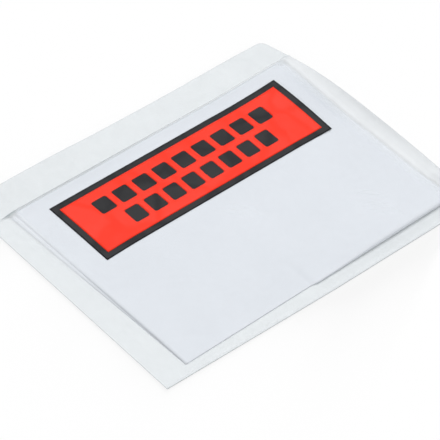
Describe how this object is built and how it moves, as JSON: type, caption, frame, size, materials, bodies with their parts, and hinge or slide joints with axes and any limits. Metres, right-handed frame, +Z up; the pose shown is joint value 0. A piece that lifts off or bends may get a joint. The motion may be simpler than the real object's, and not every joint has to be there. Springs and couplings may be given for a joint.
{
  "type": "document wallet",
  "caption": "Flat clear self-adhesive document wallet: a film pocket on a release liner, open at a flap, holding a folded white sheet, with a red and black panel printed on the front film.",
  "frame": {"origin": "on the table under the middle of the wallet, at the middle of its bounding box's underside", "axes": "+X along the pocket's mouth, +Y from the pocket's bottom edge to the flap, +Z up from the table"},
  "size_m": [0.24, 0.18, 0.0043],
  "materials": {
    "liner_paper": "translucent glassine, smooth and faintly mottled",
    "clear_film": "thin clear polythene, glossy with soft creases",
    "sheet_paper": "white office paper, matt, cool white",
    "black_ink": "black printing ink on film, satin",
    "red_ink": "orange-red printing ink on film, satin"
  },
  "bodies": {
    "root": {"release_liner": "liner_paper", "rear_film": "clear_film", "document": "sheet_paper", "front_film": "clear_film", "print_black_panel": "black_ink", "print_red_field": "red_ink"}
  },
  "joints": []
}
